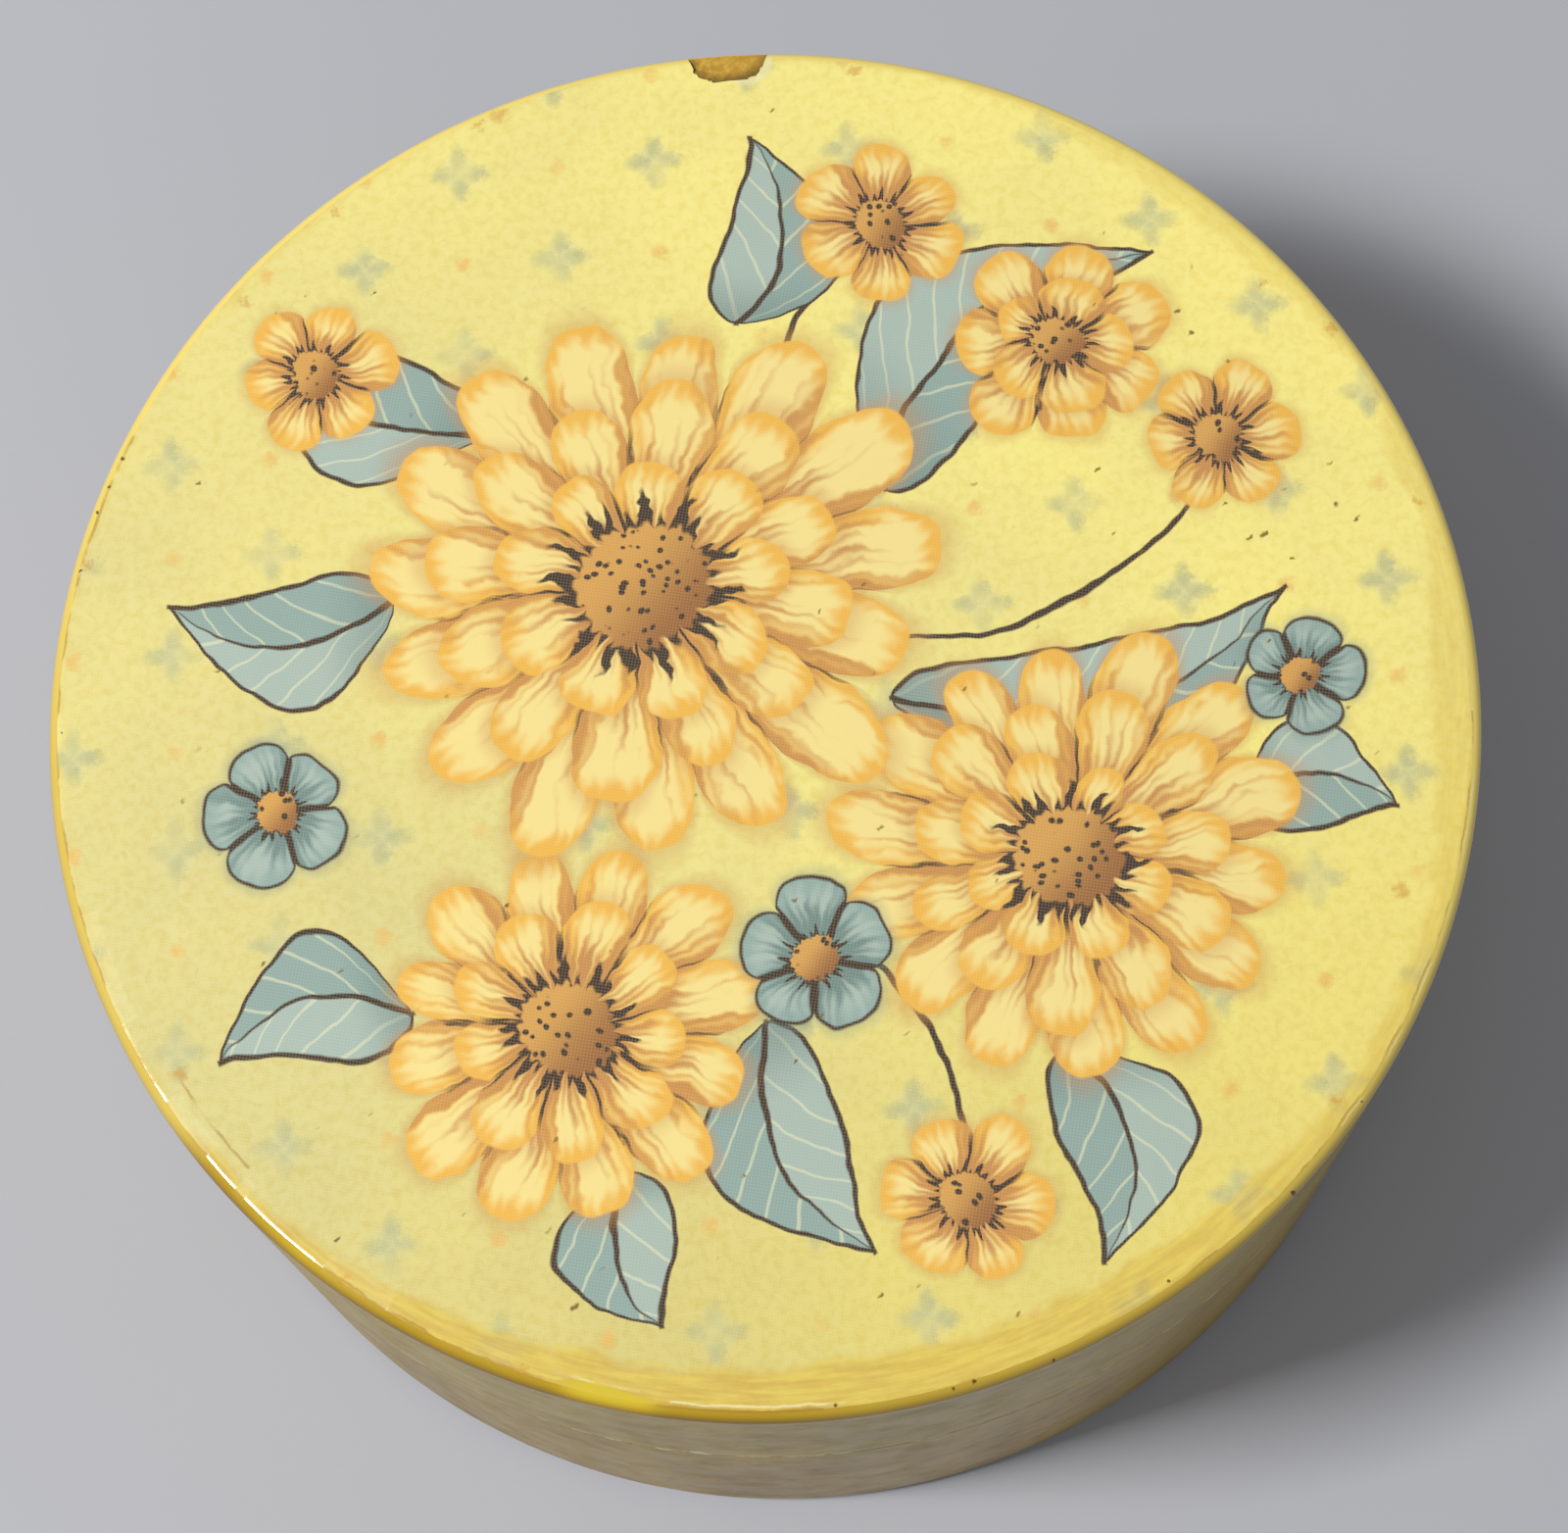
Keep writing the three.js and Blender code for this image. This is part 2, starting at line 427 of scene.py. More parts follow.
section(lid_bore, lid_high.x, lid_low.z, print_high.z)
round_corner(lid_high.x, print_high.z, rim_rounding, 10)
round_corner(lid_high.x, lid_low.z, seam_rounding, 4)
round_corner(lid_bore, lid_low.z, mouth_rounding, 3)
cut_away(print_high.x, print_low.z, lambda at: at.x < print_high.x and at.z > print_low.z)
step_edge = top_board_high.x
cut_away(step_edge, top_board_low.z, lambda at: at.x < step_edge and at.z > top_board_low.z)
lid_wall = turn_section("lid_wall")
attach(lid_wall, "lid")
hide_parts("lid_hoop")

# The lid's lining: a disc of cream drawing paper, 0.6 mm thick, glued to the underside of the board. It is
# matt, flecked with fibres and slightly foxed with age.
paper_rounding = 0.15

section(0, ceiling_high.x, ceiling_low.z, ceiling_high.z)
round_corner(ceiling_high.x, ceiling_low.z, paper_rounding, 2)
lid_lining = turn_section("lid_lining")
even_shading(lid_lining)
cream_paper, add, place = start_material("cream drawing paper", Roughness=0.85)
fibre = add("TexNoise", place, Scale=1.6, Detail=5, Distortion=1.2)
age = add("TexNoise", place, Scale=0.08, Detail=4)
cream = add("MixRGB", add("MapRange", age, 0.35, 0.7, 0, 1), "#efe7c6", "#dccb97")
flecked = add("MapRange", fibre, 0.3, 0.7, 0, 0.25)
cream = add("MixRGB", flecked, cream, "#d8cba4", blend_type="MULTIPLY")
foxing = add("TexVoronoi", place, Scale=0.11)
foxing = add("MapRange", foxing, 0.03, 0.13, 0.55, 0, interpolation_type="SMOOTHSTEP")
cream = add("MixRGB", foxing, cream, "#b98f57")
relief = add("Bump", Height=fibre, Strength=0.6, Distance=0.05 * mm)
finish_with(cream_paper, Base_Color=cream, Normal=relief)
lid_lining.data.materials.append(cream_paper)
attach(lid_lining, "lid")
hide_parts("lid_ceiling_lining")

# What age has done to the lid's edge: the clear lacquer has pooled and turned yellow in a band of changing
# width, the rim's own colour shows past the paper at the front, dirt has crept in as orange stains and along
# the paper's edge, and knocks have left dark nicks. Along the lifted edge at the front, a painted shadow
# under it and a painted highlight on it join the dirt and the bared paper.
edge_by_angle = (
    # degrees round the box, width of the pooled band and of the rim's own colour, and that colour: 0 is pale
    # yellow, 0.5 golden and 1 lemon yellow
    (-180, 0.6, 0.7, 0.28), (-160, 0.6, 0.7, 0.28), (-150, 0.8, 0.7, 0.28), (-135, 1.5, 0.8, 0.75),
    (-122, 2.3, 0.7, 0.45), (-113, 2.7, 0.9, 0.5), (-110, 2.9, 1.6, 1), (-106, 3, 1.1, 1),
    (-103, 3.1, 0.9, 0.5), (-98, 3.3, 0.7, 0.5), (-88, 3.5, 0.7, 0.4), (-62, 3.1, 0.7, 0.35),
    (-48, 2, 0.7, 0.27), (-33, 1.6, 0.6, 0.2), (-16, 2.4, 0.5, 0.1), (-8, 3.4, 0.5, 0.08),
    (3, 2.6, 0.5, 0.08),
    (9, 1.5, 0.5, 0.08), (15, 1.9, 0.5, 0.05), (23, 0.9, 0.5, 0), (33, 1.7, 0.5, 0), (45, 2, 0.5, 0),
    (57, 1.3, 0.5, 0), (70, 0.6, 0.5, 0), (110, 0.5, 0.5, 0), (124, 0.9, 0.5, 0.05), (150, 0.6, 0.6, 0.15),
    (180, 0.6, 0.7, 0.28),
)
widest_edge = 4
# Stains and nicks: x, y and size
stains = (
    (-13.6, 44.9, 0.6), (-15.2, 44.3, 0.35), (-25.6, 39.1, 0.4), (-32.5, 32.9, 0.45), (41.6, 21.9, 0.5),
    (37.5, 25.7, 0.3), (45.5, 8.7, 0.3), (-20, -42.9, 0.35), (11.5, 45.3, 0.45), (-44.6, 14.9, 0.35),
    (-40.4, -21, 0.5), (-30.9, -35.5, 0.4), (40.3, -18, 0.5), (34, -31.4, 0.4),
)
nicks = (
    (30.4, -37, 0.14), (13.7, -45.9, 0.1), (8.5, -46.7, 0.11), (7.2, -46.9, 0.09), (-0.4, -47.1, 0.09),
    (-19.8, -43.9, 0.12), (-45, 14.6, 0.1), (-43.6, 18.6, 0.12), (-42.7, 20.4, 0.1),
    (-41.6, 22.4, 0.12), (21.6, -41.8, 0.1), (35.6, -31.6, 0.07), (-46.9, 3.2, 0.08),
)
# Fine lines round the edge: from and to what angle, radius, half width, and whether they are dirt, bared
# paper or places rubbed matt
edge_lines = (
    (-151.5, -143, 45.78, 0.09, "dirt"), (150, 163, 47.3, 0.12, "dirt"), (166, 180.5, 47.28, 0.07, "dirt"),
    # The dark line from -104 to -89 degrees is partly dirt and partly painted shadow under the lifted edge;
    # the pale line from -103 to -90 degrees is partly bared paper and partly a painted highlight on it.
    (-180.5, -112, 47.28, 0.07, "dirt"), (-62, -8, 47.3, 0.06, "dirt"), (-104, -89, 47.36, 0.09, "dirt"),
    (-103, -90, 47.04, 0.07, "paper"), (-112.5, -106, 46.6, 0.08, "paper"),
    (-44, -12, 47.5, 0.04, "paper"), (-151, -146, 47, 0.7, "matt"), (-142, -141.4, 47, 0.7, "matt"),
    (-132.5, -127, 47, 0.7, "matt"), (-168, -158.8, 47, 0.7, "matt"),
)

# A smooth step stops at its ends by itself. Without the clamp node that a plain one adds, the long chain of
# painted shapes fits the renderer's store of 255 numbers.
soft = {"interpolation_type": "SMOOTHSTEP", "clamp": False}


def start_group(name, given, painted):
    """Starts a group of nodes with inputs and outputs named by kind. Returns it, its add() and its inputs."""
    group = bpy.data.node_groups.new(name, "ShaderNodeTree")
    for way, kinds in (("INPUT", given), ("OUTPUT", painted)):
        for kind, names in kinds.items():
            for socket in names.split():
                group.interface.new_socket(socket, in_out=way, socket_type="NodeSocket" + kind)
    add = adder(group)
    return group, add, add("NodeGroupInput").outputs


def shaken(add, place, noise, swing):
    """Moves places about by a noise, half the swing to each side."""
    moved = add("VectorMath MULTIPLY_ADD", noise.outputs["Color"], (swing[0], swing[1], 0), place)
    return add("VectorMath SUBTRACT", moved, (swing[0] / 2, swing[1] / 2, 0))


def nearest(add, place, marks):
    """Gives how far a place is from the nearest mark, as a share of that mark's size."""
    closest = 9
    for x, y, size in marks:
        gap = add("VectorMath DISTANCE", place, (x, y, 0))
        gap = add("Math DIVIDE", gap, size)
        closest = add("Math MINIMUM", gap, closest)
    return closest


def around(add, offset):
    """Gives an offset's x and y, its distance from the middle and its angle round it."""
    known = {"distance": add("VectorMath LENGTH", offset)}
    for result, way in (("x", (1, 0, 0)), ("y", (0, 1, 0))):
        known[result] = add("VectorMath DOT_PRODUCT", offset, way)
    return {**known, "angle": add("Math ARCTAN2", known["y"], known["x"])}


edge_wear, add, given = start_group(
    "wear along the lid's edge", {"Vector": "Place"},
    {"Float": "Pooled Rimmed Golden Lemon Stained Nicked Soiled Bared Matt Streak"},
)
flat = add("VectorMath MULTIPLY", given["Place"], (1, 1, 0))
ragged = add("TexNoise", flat, Scale=1.8, Detail=4, Roughness=0.65)
wander = add("TexNoise", flat, Scale=0.35, Detail=4)
known = {**around(add, flat), "wander": wander, "ragged": ragged}
ramp = add("ValToRGB", add("Math MULTIPLY_ADD", known["angle"], 0.5 / math.pi, 0.5))
stops = ramp.color_ramp.elements
while len(stops) > 1:
    stops.remove(stops[0])
for index, (degrees, pooled_width, rim_width, rim_tone) in enumerate(edge_by_angle):
    share = degrees / 360 + 0.5
    stop = stops.new(share) if index else stops[0]
    stop.position = share
    stop.color = (pooled_width / widest_edge, rim_width / widest_edge, rim_tone, 1)
for result, way in (
    ("pooled width", (widest_edge, 0, 0)), ("rim width", (0, widest_edge, 0)), ("rim tone", (0, 0, 1)),
):
    known[result] = add("VectorMath DOT_PRODUCT", ramp, way)
# Streaks where the lacquer was wiped round the edge: 4 mm long and 0.4 mm apart
along = add("Math MULTIPLY", known["angle"], 12)
inward = add("Math MULTIPLY", known["distance"], 2.4)
known["streak"] = add("TexNoise", add("CombineXYZ", along, inward), Scale=1, Detail=3)
for result, operation, *terms in (
    ("from edge", "SUBTRACT", "distance", lid_high.x),
    ("pooled", "ADD", "from edge", "pooled width"),
    ("pooled", "MULTIPLY_ADD", "wander", 2, "pooled"),
    ("pooled", "MULTIPLY_ADD", "streak", 0.8, "pooled"),
    ("rim", "ADD", "from edge", "rim width"),
    ("rim", "MULTIPLY_ADD", "wander", 1, "rim"),
    ("off line", "MULTIPLY_ADD", "wander", 0.5, "distance"),
    ("off line", "MULTIPLY_ADD", "ragged", 0.2, "off line"),
    ("degrees", "MULTIPLY", "angle", 180 / math.pi),
):
    known[result] = add("Math " + operation, *[known.get(term, term) for term in terms])
rimmed = add("MapRange", known["rim"], 0.4, 0.55, 0, 1, **soft)
golden = add("MapRange", known["rim tone"], 0, 0.5, 0, 1, **soft)
lemon = add("MapRange", known["rim tone"], 0.5, 1, 0, 0.9, **soft)
# The pooled lacquer is fainter where the rim is pale
depth = add("Math MULTIPLY_ADD", golden, 0.5, 0.5)
pooled = add("MapRange", known["pooled"], 0.75, 1.75, 0, depth, **soft)
masks = {"dirt": 0, "paper": 0, "matt": 0}
for kind, marks, swing, hardness in (("stains", stains, 2.2, 0.2), ("nicks", nicks, 0.6, 0.8)):
    gap = nearest(add, shaken(add, flat, ragged, (swing, swing)), marks)
    masks[kind] = add("MapRange", gap, hardness, 1.5, 1, 0, **soft)
faint = add("MapRange", wander, 0.4, 0.56, 0.15, 0.9, **soft)
for first, last, line_radius, half_width, kind in edge_lines:
    for result, operation, *terms in (
        ("off", "SUBTRACT", "off line", line_radius + 0.35),
        ("off", "ABSOLUTE", "off"),
        ("past end", "SUBTRACT", "degrees", (first + last) / 2),
        ("past end", "ABSOLUTE", "past end"),
        ("past end", "SUBTRACT", "past end", (last - first) / 2),
        ("past end", "MULTIPLY", "past end", 3 if kind == "matt" else 0.3),
        ("off", "MAXIMUM", "off", "past end"),
    ):
        known[result] = add("Math " + operation, *[known.get(term, term) for term in terms])
    line = add("MapRange", known["off"], 0.5 * half_width, 1.6 * half_width, 1, 0, **soft)
    if kind != "matt":
        line = add("Math MULTIPLY", line, faint)
    masks[kind] = add("Math MAXIMUM", masks[kind], line)
# A pale halo where lacquer and paper have come loose beside the chip
halo = add("VectorMath DISTANCE", flat, (chip_centre.x + 1.2, chip_centre.y + 0.4, 0))
halo = add("Math MULTIPLY_ADD", ragged, 0.7, halo)
halo = add("MapRange", halo, 2.1, 2.45, 0.6, 0, **soft)
masks["paper"] = add("Math MAXIMUM", masks["paper"], halo)
results = [masks[kind] for kind in ("stains", "nicks", "dirt", "paper", "matt")]
add("NodeGroupOutput", pooled, rimmed, golden, lemon, *results, known["streak"])

# The lid's lacquer: dull, darker yellow down the wall like the base's, partly age and partly painted shade,
# and glossier over the rounded rim, where hands have polished it. The rim is pale, golden or lemon yellow
# by its place; painted shade darkens it as it turns down, and its paleness at the right and back is partly
# painted light.
lid_lacquer, add, place, height, colour, dulled = lacquer(
    "brushed yellow lacquer on the lid", "#bda440", "#9d8434", lid_high.x, lid_low.z
)
wear = add("Group", node_tree=edge_wear, Place=place).outputs
# Painted shade: the rim's gold and lemon paint darkens as the rim turns down from its top
painted_light_over_rim = add("MapRange", height, print_high.z - 0.75, print_high.z, 0, 1, **soft)
# Pale yellow where the table gives the rim no gold or lemon, at the right and back: partly painted light,
# lighter where the lamp leaves the rim in shade
rim_colour = "#fbe27a"
for tone, shade_paint, above in (("Golden", "#8a6a1c", "#ba9828"), ("Lemon", "#a68020", "#d9bf34")):
    paint = add("MixRGB", painted_light_over_rim, shade_paint, above)
    rim_colour = add("MixRGB", wear[tone], rim_colour, paint)
# The soiled and bared marks carry a painted shadow and a painted highlight along the lifted edge
for mark, share, paint in (
    ("Bared", 0.7, "#f3e9b8"), ("Soiled", 0.5, "#b08a2c"), ("Stained", 0.5, "#c08a2c"),
    ("Nicked", 0.9, "#5a441a"),
):
    mask = add("Math MULTIPLY", wear[mark], share)
    rim_colour = add("MixRGB", mask, rim_colour, paint)
chipping = add("TexNoise", place, Scale=0.5, Detail=4)
uneven = add("Math MULTIPLY_ADD", chipping, 0.9, height)
on_rim = add("MapRange", uneven, lid_high.z - 1.1, lid_high.z - 0.1, 0, 1, **soft)
colour = add("MixRGB", on_rim, colour, rim_colour)
polished = add("Math MULTIPLY_ADD", on_rim, -0.6, 1)
polished = add("Math MULTIPLY", polished, dulled)
polished = add("Math MULTIPLY_ADD", wear["Matt"], 0.5, polished)
# One flake of lacquer has gone from the lid's lower edge at the front, down to the primer
flaked = add("VectorMath SUBTRACT", place, (-10, -46.95, lid_low.z))
flaked = add("VectorMath MULTIPLY", flaked, (1, 1, 0.45))
flaked = add("VectorMath LENGTH", flaked)
flaked = add("Math MULTIPLY_ADD", chipping, -1, flaked)
flaked = add("MapRange", flaked, 0.1, 0.3, 1, 0, **soft)
colour = add("MixRGB", flaked, colour, "#e6d9b0")
finish_with(lid_lacquer, Base_Color=colour, Roughness=polished)
lid_wall.data.materials.append(lid_lacquer)

# The picture: a posy of golden blooms with blue-grey leaves, drawn for this box, on a calico ground of faint
# four-petalled sprigs and orange dots. It is lithographed in flat airbrushed tones with broken ink lines.
ink = "#3b2520"
gold_bloom = {"Fill": "#f6df8d", "Edge": "#f0b440", "Shade": "#c98c4a", "Outline": 0}
blue_bloom = {"Fill": "#a9bbb0", "Edge": "#8fa8a1", "Shade": "#6f8984", "Outline": 1}

petal_ring, add, given = start_group(
    "ring of painted petals",
    {"Color": "Under Fill Edge Shade", "Vector": "Place Centre", "Float": "Radius Petals Turn Grain Outline"},
    {"Color": "Painted"},
)
offset = add("VectorMath SUBTRACT", given["Place"], given["Centre"])
known = around(add, offset)
known.update({name.lower(): given[name] for name in ("Radius", "Petals", "Turn", "Grain")})
for result, operation, *terms in (
    ("share", "DIVIDE", "angle", 2 * math.pi),
    ("spun", "MULTIPLY_ADD", "share", "petals", "turn"),
    ("petal", "FLOOR", "spun"),
    ("number", "FLOORED_MODULO", "petal", "petals"),
    ("side", "FRACT", "spun"),
    ("off middle", "MULTIPLY_ADD", "side", 2, -1),
    ("off middle", "ABSOLUTE", "off middle"),
    # Each petal has a chance value of its own, which sets its length
    ("seed", "MULTIPLY_ADD", "number", 12.9898, "radius"),
    ("chance", "SINE", "seed"),
    ("chance", "MULTIPLY", "chance", 43758.5),
    ("chance", "FRACT", "chance"),
    ("length", "MULTIPLY_ADD", "chance", 0.16, 0.88),
    ("length", "MULTIPLY", "length", "radius"),
    ("tip", "POWER", "off middle", 2.6),
    ("tip", "MULTIPLY_ADD", "tip", -0.26, 1),
    ("reach", "MULTIPLY", "tip", "length"),
    ("inside", "SUBTRACT", "reach", "distance"),
    ("half", "SUBTRACT", 1, "off middle"),
    ("border", "MULTIPLY", "half", "distance"),
    ("border", "DIVIDE", "border", "petals"),
    ("border", "MULTIPLY", "border", math.pi),
    ("near edge", "MINIMUM", "inside", "border"),
    ("height", "DIVIDE", "distance", "length"),
    # Brush strokes run out along the petal, six or seven to its width
    ("stroke", "MULTIPLY_ADD", "side", 42, "seed"),
    ("stroke", "MULTIPLY_ADD", "grain", 16, "stroke"),
    ("fine", "SINE", "stroke"),
    ("coarse", "MULTIPLY", "stroke", 0.37),
    ("coarse", "SINE", "coarse"),
    ("feather", "ADD", "fine", "coarse"),
    ("feather", "MULTIPLY_ADD", "feather", 0.17, "grain"),
    ("edge", "MULTIPLY_ADD", "feather", 1.6, "near edge"),
    ("base", "MULTIPLY_ADD", "feather", 0.5, "height"),
    ("shadow", "MULTIPLY_ADD", "feather", 0.35, "side"),
    ("dash", "MULTIPLY_ADD", "feather", -0.5, "border"),
    ("cast", "MULTIPLY_ADD", "radius", -0.09, -0.5),
):
    known[result] = add("Math " + operation, *[known.get(term, term) for term in terms])
for result, source, *steps in (
    ("edge", "edge", 1, 2.7, 0.95, 0),
    ("base", "base", 0.62, 1, 1, 0),
    ("shadow", "shadow", 0.17, 0.52, 0.85, 0),
    ("dash", "dash", -0.2, -0.05, 1, 0),
    ("low down", "height", 0.6, 0.86, 1, 0),
    ("line", "near edge", 0.16, 0.34, 1, 0),
    ("cast", "inside", known["cast"], 0.3, 0, 0.42),
    ("mask", "inside", -0.12, 0.12, 0, 1),
):
    known[result] = add("MapRange", known[source], *steps, **soft)
dash = add("Math MULTIPLY", known["dash"], known["low down"])
line = add("Math MULTIPLY", known["line"], given["Outline"])
dash = add("Math MAXIMUM", dash, line)
petal = add("MixRGB", known["edge"], given["Fill"], given["Edge"])
for mask, paint in ((known["shadow"], given["Shade"]), (known["base"], given["Shade"]), (dash, ink)):
    petal = add("MixRGB", mask, petal, paint)
under = add("MixRGB", known["cast"], given["Under"], given["Shade"])
add("NodeGroupOutput", add("MixRGB", known["mask"], under, petal))

drawn_leaf, add, given = start_group(
    "inked leaf", {"Color": "Under", "Vector": "Place Root", "Float": "Turn Length Width Bend"},
    {"Color": "Painted"},
)
offset = add("VectorMath SUBTRACT", given["Place"], given["Root"])
turned = add("VectorRotate", offset, Angle=given["Turn"], rotation_type="Z_AXIS", invert=True)
known = {name.lower(): given[name] for name in ("Length", "Width", "Bend")}
for result, way in (("x", (1, 0, 0)), ("y", (0, 1, 0))):
    known[result] = add("VectorMath DOT_PRODUCT", turned, way)
for result, operation, *terms in (
    ("along", "DIVIDE", "x", "length"),
    ("along", "MINIMUM", "along", 1),
    ("along", "MAXIMUM", "along", 0),
    ("rest", "SUBTRACT", 1, "along"),
    ("sway", "MULTIPLY", "along", "rest"),
    ("sway", "MULTIPLY", "sway", "bend"),
    ("side", "SUBTRACT", "y", "sway"),
    ("across", "ABSOLUTE", "side"),
    ("swell", "POWER", "along", 0.72),
    ("swell", "MULTIPLY", "swell", math.pi),
    ("swell", "SINE", "swell"),
    ("half width", "MULTIPLY", "swell", "width"),
    ("inside", "SUBTRACT", "half width", "across"),
    ("to tip", "SUBTRACT", "length", "x"),
    ("ends", "MINIMUM", "x", "to tip"),
    ("inside", "MINIMUM", "inside", "ends"),
    ("rib", "MULTIPLY", "rest", 0.24),
    ("rib", "SUBTRACT", "across", "rib"),
    ("vein", "MULTIPLY_ADD", "across", -1.2, "x"),
    ("vein", "DIVIDE", "vein", 2.9),
    ("vein", "PINGPONG", "vein", 0.5),
):
    known[result] = add("Math " + operation, *[known.get(term, term) for term in terms])
for result, source, *steps in (
    ("mask", "inside", -0.24, -0.08, 0, 1),
    ("line", "inside", 0.12, 0.3, 1, 0),
    ("rib", "rib", -0.04, 0.12, 1, 0),
    ("vein", "vein", 0.025, 0.075, 0.55, 0),
    ("light side", "side", -0.25, 0.25, 0, 1),
    ("root", "along", 0, 0.35, 0.6, 0),
):
    known[result] = add("MapRange", known[source], *steps, **soft)
lines = add("Math MAXIMUM", known["line"], known["rib"])
leaf = blue_bloom["Edge"]
for mask, paint in (
    (known["light side"], blue_bloom["Fill"]), (known["vein"], "#e3e3bb"), (known["root"], "#66807b"),
    (lines, ink),
):
    leaf = add("MixRGB", mask, leaf, paint)
add("NodeGroupOutput", add("MixRGB", known["mask"], given["Under"], leaf))

bloom_heart, add, given = start_group(
    "stippled heart of a bloom", {"Color": "Under Fill", "Vector": "Place Centre", "Float": "Radius Grain"},
    {"Color": "Painted"},
)
offset = add("VectorMath SUBTRACT", given["Place"], given["Centre"])
known = {**around(add, offset), "radius": given["Radius"], "grain": given["Grain"]}
known["lit"] = add("VectorMath DOT_PRODUCT", offset, (1, -1, 0))
for result, operation, *terms in (
    ("spin", "MULTIPLY", "angle", 11),
    ("spin", "MULTIPLY_ADD", "grain", 9, "spin"),
    ("ragged", "SINE", "spin"),
    ("spin", "MULTIPLY", "angle", 27),
    ("spin", "MULTIPLY_ADD", "grain", 14, "spin"),
    ("ragged fine", "SINE", "spin"),
    ("ragged", "ADD", "ragged", "ragged fine"),
    ("share", "DIVIDE", "distance", "radius"),
    ("edge", "MULTIPLY_ADD", "ragged", -0.04, "share"),
    ("spoke", "MULTIPLY_ADD", "ragged", -0.22, "share"),
    ("lit", "DIVIDE", "lit", "radius"),
):
    known[result] = add("Math " + operation, *[known.get(term, term) for term in terms])
known["dots"] = add("TexVoronoi", given["Place"], Scale=1.25)
for result, source, *steps in (
    ("spoke", "spoke", 1.1, 1.25, 1, 0),
    ("mask", "edge", 0.97, 1.05, 1, 0),
    ("dots", "dots", 0.22, 0.34, 1, 0),
    ("shaded", "lit", -0.9, 1.3, 0, 1),
):
    known[result] = add("MapRange", known[source], *steps, **soft)
heart = add("MixRGB", known["shaded"], given["Fill"], "#9a6233")
heart = add("MixRGB", known["dots"], heart, ink)
under = add("MixRGB", known["spoke"], given["Under"], ink)
add("NodeGroupOutput", add("MixRGB", known["mask"], under, heart))

# Where each part of the posy lies, in millimetres from the lid's middle, in painting order. Stems and leaves
# have their root's place, way in degrees, length, a leaf's width, and bend.
stem_width = 0.08
stems = (
    (6, 12, 34, 19, 3), (10, 3, 27, 26, -4), (3, 20, 56, 15, 2), (-14, 18, 146, 16, -3), (2, -16, -68, 20, 3),
)
leaves = (
    (-17, 21, 141, 17, 4.8, 3), (1, 27, 79, 14, 4.4, -3), (-24, 10, 176, 15, 4.6, 3),
    (10, 14, 37, 25, 5.4, 5), (9, -1, 10, 27, 5.2, -5), (31, -11, -6, 10, 3.8, 2), (17, -26, -86, 14, 4.6, 3),
    (-12, -31, -82, 10, 4, -2), (-25, -19, 188, 13, 4.4, -3), (-2, -22, -72, 17, 4.6, -3),
)
blooms = (
    # x and y, colours, the heart's radius, then each ring's radius, petals and turn, from the outside in
    (23, 23, gold_bloom, 1.7, (8, 7, 0.2), (5, 5, 0.6)),
    (33, 15, gold_bloom, 1.6, (5.6, 6, 0.5)),
    (12, 33.5, gold_bloom, 1.7, (6, 6, 0.1)),
    (-28, 27, gold_bloom, 1.6, (5.4, 6, 0.4)),
    (9.5, -35, gold_bloom, 1.7, (5.8, 6, 0.7)),
    (-15, -21, gold_bloom, 3, (13, 12, 0.3), (8.8, 9, 0.8)),
    (19, -13, gold_bloom, 3.4, (16, 14, 0.1), (11.6, 11, 0.55), (7.4, 8, 0.2)),
    (1.5, -18, blue_bloom, 1.5, (5.6, 5, 0.3)),
    (-33, -4, blue_bloom, 1.4, (5.2, 5, 0)),
    (36, -2.5, blue_bloom, 1.3, (4.6, 5, 0.6)),
    (-7, 9, gold_bloom, 4.4, (20.5, 15, 0.4), (15.2, 12, 0), (10.2, 9, 0.5)),
)

# Fly specks, most of them in one corner: x, y and size
specks = (
    (26.6, 7.3, 0.1), (34, 7.4, 0.15), (35, 7.6, 0.17), (34.2, 0, 0.1), (36.6, 5.6, 0.09),
    (-16.3, -39.1, 0.15), (32.1, 22.7, 0.12), (31.5, 24.4, 0.14), (40.1, 9.1, 0.14), (41.3, 7.9, 0.17),
    (3.3, -40.6, 0.13), (-31, -33, 0.11), (-23.5, 32.5, 0.11), (24.5, 13.5, 0.12),
)
speck_slant = math.radians(35)
speck_length = 2
lattice_step = 6.82
lattice_turn = math.radians(3)
sprig_place = (5.304, 1.108)
screen_step = 0.2117
screen_turn = math.radians(15)
brush_wander = 1
tile_size = 24


